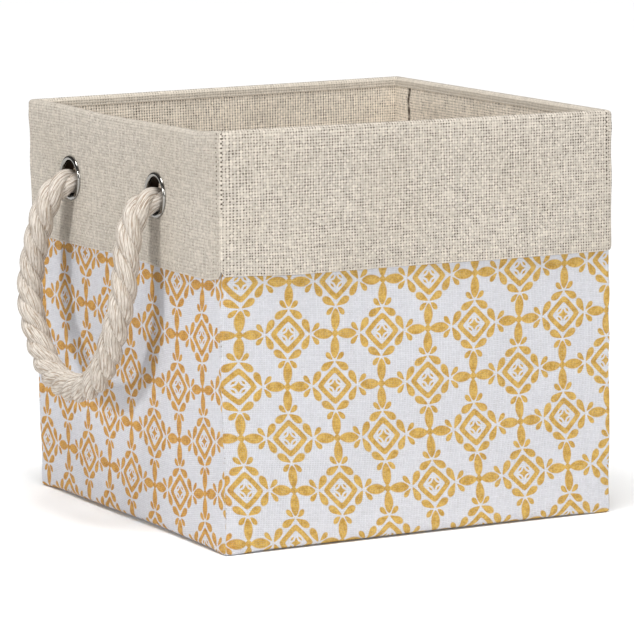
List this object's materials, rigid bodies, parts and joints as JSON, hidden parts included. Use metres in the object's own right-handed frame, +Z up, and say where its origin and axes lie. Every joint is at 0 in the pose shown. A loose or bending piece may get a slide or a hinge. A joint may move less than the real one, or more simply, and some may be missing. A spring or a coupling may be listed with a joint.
{
  "type": "fabric storage bin",
  "caption": "Square open-top fabric storage bin with board-stiffened printed walls, a folded linen cuff, a loose base board and swinging rope handles through metal eyelets.",
  "frame": {"origin": "centre of the underside, on the surface the bin stands on", "axes": "+Z up, -Y out of the front wall, +X to the right seen from the front; the handles are on the -X and +X walls"},
  "size_m": [0.3444, 0.267, 0.25],
  "materials": {
    "linen": "coarse plain-weave natural linen, matt",
    "lining_linen": "plain-weave natural linen, matt, a little warmer and darker",
    "printed_cotton": "white plain-weave cotton with a yellow lattice print, matt",
    "plain_cloth": "plain white cloth, matt",
    "cardboard": "grey-brown board, matt",
    "nickel": "bright nickel plate",
    "cotton_rope": "undyed three-strand twisted cotton, matt and slightly hairy"
  },
  "bodies": {
    "bin": {"front_cuff": "linen", "front_print_panel": "printed_cotton", "front_board": "cardboard", "front_lining": "lining_linen", "right_cuff": "linen", "right_print_panel": "printed_cotton", "right_board": "cardboard", "right_lining": "lining_linen", "back_cuff": "linen", "back_print_panel": "printed_cotton", "back_board": "cardboard", "back_lining": "lining_linen", "left_cuff": "linen", "left_print_panel": "printed_cotton", "left_board": "cardboard", "left_lining": "lining_linen", "left_front_eyelet": "nickel", "left_front_washer": "nickel", "left_front_rope_knot": "cotton_rope", "left_back_eyelet": "nickel", "left_back_washer": "nickel", "left_back_rope_knot": "cotton_rope", "right_front_eyelet": "nickel", "right_front_washer": "nickel", "right_front_rope_knot": "cotton_rope", "right_back_eyelet": "nickel", "right_back_washer": "nickel", "right_back_rope_knot": "cotton_rope", "bottom_cloth": "plain_cloth", "floor_lining": "lining_linen"},
    "left_handle": {"left_rope_loop": "cotton_rope", "left_front_rope_bend": "cotton_rope", "left_back_rope_bend": "cotton_rope"},
    "right_handle": {"right_rope_loop": "cotton_rope", "right_front_rope_bend": "cotton_rope", "right_back_rope_bend": "cotton_rope"},
    "base_insert": {"base_board": "cardboard", "base_board_cover": "lining_linen"}
  },
  "joints": [
    {"name": "left_handle_swing", "type": "hinge", "parent": "bin", "child": "left_handle", "pos_m": [-0.1415, 0.013, 0.2025], "axis": [0, 1, 0], "range_deg": [0, 150], "deforming": ["left_front_rope_bend", "left_back_rope_bend"]},
    {"name": "right_handle_swing", "type": "hinge", "parent": "bin", "child": "right_handle", "pos_m": [0.1415, 0.013, 0.2025], "axis": [0, -1, 0], "range_deg": [0, 150], "deforming": ["right_front_rope_bend", "right_back_rope_bend"]},
    {"name": "base_insert_lift", "type": "slide", "parent": "bin", "child": "base_insert", "axis": [0, 0, 1], "range_m": [0, 0.15]}
  ]
}
